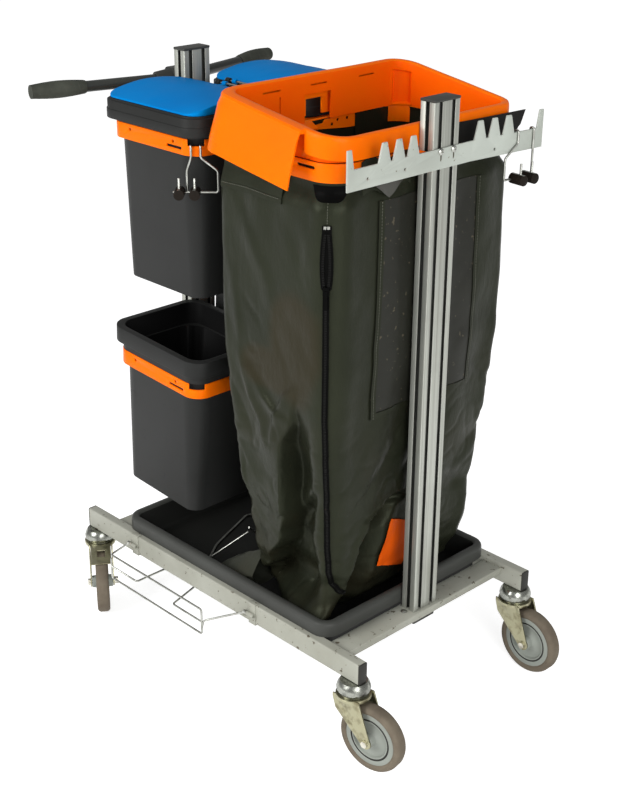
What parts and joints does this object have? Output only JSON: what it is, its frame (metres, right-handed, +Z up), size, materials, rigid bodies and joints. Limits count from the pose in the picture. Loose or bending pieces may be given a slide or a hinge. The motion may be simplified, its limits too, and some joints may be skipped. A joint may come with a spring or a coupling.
{
  "type": "janitor cart",
  "caption": "Janitor cart with steel frame, slotted uprights, lidded buckets in orange rings, hanging waste bag, hook rack and swivel casters",
  "frame": {"origin": "centre of the bounding box at floor level", "axes": "X to the front where the bag hangs, Y to the left, Z up"},
  "size_m": [0.8784, 0.5746, 1.1129],
  "materials": {
    "rail_steel": "light grey paint, worn",
    "plug_plastic": "matte",
    "post_aluminium": "anodised",
    "bright_steel": "bright zinc",
    "head_chrome": "polished",
    "handle_plastic": "satin",
    "handle_steel": "dark powder coat",
    "grip_rubber": "matte",
    "orange_plastic": "satin",
    "rack_steel": "light grey paint",
    "grey_plastic": "satin",
    "blue_plastic": "satin, mottled",
    "bag_vinyl": "coated fabric, soft sheen",
    "fork_zinc": "yellow zinc",
    "axle_steel": "zinc",
    "rim_plastic": "light grey",
    "tyre_rubber": "grey, worn"
  },
  "bodies": {
    "chassis": {"side_rail_right": "rail_steel", "side_rail_left": "rail_steel", "cross_member_front": "rail_steel", "cross_member_rear": "rail_steel", "rail_end_plugs": "plug_plastic", "post_front": "post_aluminium", "post_rear": "post_aluminium", "post_caps": "plug_plastic", "post_feet": "plug_plastic", "post_screws": "bright_steel", "caster_heads": "head_chrome", "handle_hub": "handle_plastic", "handle_bars": "handle_steel", "handle_grips": "grip_rubber", "bucket_ring_upper_right": "orange_plastic", "bucket_ring_upper_left": "orange_plastic", "bucket_ring_lower_right": "orange_plastic", "bucket_ring_lower_left": "orange_plastic", "ring_screws": "bright_steel", "bag_ring": "orange_plastic", "hook_rack": "rack_steel", "rack_screws": "bright_steel", "side_rack_clips": "bright_steel", "base_tray": "grey_plastic", "tray_wire_stand": "bright_steel", "bag": "bag_vinyl"},
    "caster_front_right": {"fork_front_right": "fork_zinc", "axle_front_right": "axle_steel"},
    "wheel_front_right": {"rim_front_right": "rim_plastic", "tyre_front_right": "tyre_rubber"},
    "caster_front_left": {"fork_front_left": "fork_zinc", "axle_front_left": "axle_steel"},
    "wheel_front_left": {"rim_front_left": "rim_plastic", "tyre_front_left": "tyre_rubber"},
    "caster_rear_right": {"fork_rear_right": "fork_zinc", "axle_rear_right": "axle_steel"},
    "wheel_rear_right": {"rim_rear_right": "rim_plastic", "tyre_rear_right": "tyre_rubber"},
    "caster_rear_left": {"fork_rear_left": "fork_zinc", "axle_rear_left": "axle_steel"},
    "wheel_rear_left": {"rim_rear_left": "rim_plastic", "tyre_rear_left": "tyre_rubber"},
    "upper_bucket_right": {"bucket_upper_right": "grey_plastic", "lid_frame_right": "grey_plastic", "lid_pin_right": "bright_steel"},
    "lid_right": {"lid_right": "blue_plastic"},
    "lower_bucket_right": {"bucket_lower_right": "grey_plastic"},
    "upper_bucket_left": {"bucket_upper_left": "grey_plastic", "lid_frame_left": "grey_plastic", "lid_pin_left": "bright_steel"},
    "lid_left": {"lid_left": "blue_plastic"},
    "lower_bucket_left": {"bucket_lower_left": "grey_plastic"},
    "collar": {"collar": "orange_plastic"},
    "side_rack": {"side_rack": "bright_steel"},
    "tool_holder_front": {"tool_holder_front": "bright_steel", "tool_cups_front": "grip_rubber"},
    "tool_holder_rear": {"tool_holder_rear": "bright_steel", "tool_cups_rear": "grip_rubber"},
    "zip_slider": {"zip_slider": "bright_steel"}
  },
  "joints": [
    {"name": "swivel_front_right", "type": "hinge", "parent": "chassis", "child": "caster_front_right", "pos_m": [0.33366, -0.219, 0.134], "axis": [0, 0, 1], "continuous": true},
    {"name": "spin_front_right", "type": "hinge", "parent": "caster_front_right", "child": "wheel_front_right", "pos_m": [0.37624, -0.21302, 0.0625], "axis": [-0.1392, 0.9903, 0], "continuous": true},
    {"name": "swivel_front_left", "type": "hinge", "parent": "chassis", "child": "caster_front_left", "pos_m": [0.33366, 0.219, 0.134], "axis": [0, 0, 1], "continuous": true},
    {"name": "spin_front_left", "type": "hinge", "parent": "caster_front_left", "child": "wheel_front_left", "pos_m": [0.37666, 0.219, 0.0625], "axis": [0, 1, 0], "continuous": true},
    {"name": "swivel_rear_right", "type": "hinge", "parent": "chassis", "child": "caster_rear_right", "pos_m": [-0.39234, -0.219, 0.134], "axis": [0, 0, 1], "continuous": true},
    {"name": "spin_rear_right", "type": "hinge", "parent": "caster_rear_right", "child": "wheel_rear_right", "pos_m": [-0.35712, -0.24366, 0.0625], "axis": [0.5736, 0.8192, 0], "continuous": true},
    {"name": "swivel_rear_left", "type": "hinge", "parent": "chassis", "child": "caster_rear_left", "pos_m": [-0.39234, 0.219, 0.134], "axis": [0, 0, 1], "continuous": true},
    {"name": "spin_rear_left", "type": "hinge", "parent": "caster_rear_left", "child": "wheel_rear_left", "pos_m": [-0.35712, 0.19434, 0.0625], "axis": [0.5736, 0.8192, 0], "continuous": true},
    {"name": "lift_upper_right", "type": "slide", "parent": "chassis", "child": "upper_bucket_right", "axis": [0, 0, 1], "range_m": [0, 0.3]},
    {"name": "lid_hinge_right", "type": "hinge", "parent": "upper_bucket_right", "child": "lid_right", "pos_m": [-0.17334, -0.012, 1.061], "axis": [-1, 0, 0], "range_deg": [0, 85]},
    {"name": "lift_lower_right", "type": "slide", "parent": "chassis", "child": "lower_bucket_right", "axis": [0.061, 0, 0.9981], "range_m": [0, 0.06]},
    {"name": "lift_upper_left", "type": "slide", "parent": "chassis", "child": "upper_bucket_left", "axis": [0, 0, 1], "range_m": [0, 0.3]},
    {"name": "lid_hinge_left", "type": "hinge", "parent": "upper_bucket_left", "child": "lid_left", "pos_m": [-0.17334, 0.012, 1.061], "axis": [1, 0, 0], "range_deg": [0, 85]},
    {"name": "lift_lower_left", "type": "slide", "parent": "chassis", "child": "lower_bucket_left", "axis": [0.061, 0, 0.9981], "range_m": [0, 0.06]},
    {"name": "lift_collar", "type": "slide", "parent": "chassis", "child": "collar", "axis": [0, 0, 1], "range_m": [0, 0.15]},
    {"name": "swing_side_rack", "type": "hinge", "parent": "chassis", "child": "side_rack", "pos_m": [-0.08534, -0.2345, 0.183], "axis": [-1, 0, 0], "range_deg": [0, 75]},
    {"name": "lift_holder_front", "type": "slide", "parent": "chassis", "child": "tool_holder_front", "axis": [0, 0, 1], "range_m": [0, 0.015]},
    {"name": "lift_holder_rear", "type": "slide", "parent": "chassis", "child": "tool_holder_rear", "axis": [0, 0, 1], "range_m": [0, 0.005]},
    {"name": "zip_slide", "type": "slide", "parent": "chassis", "child": "zip_slider", "axis": [0, 0, 1], "range_m": [-0.25, 0.09]}
  ]
}
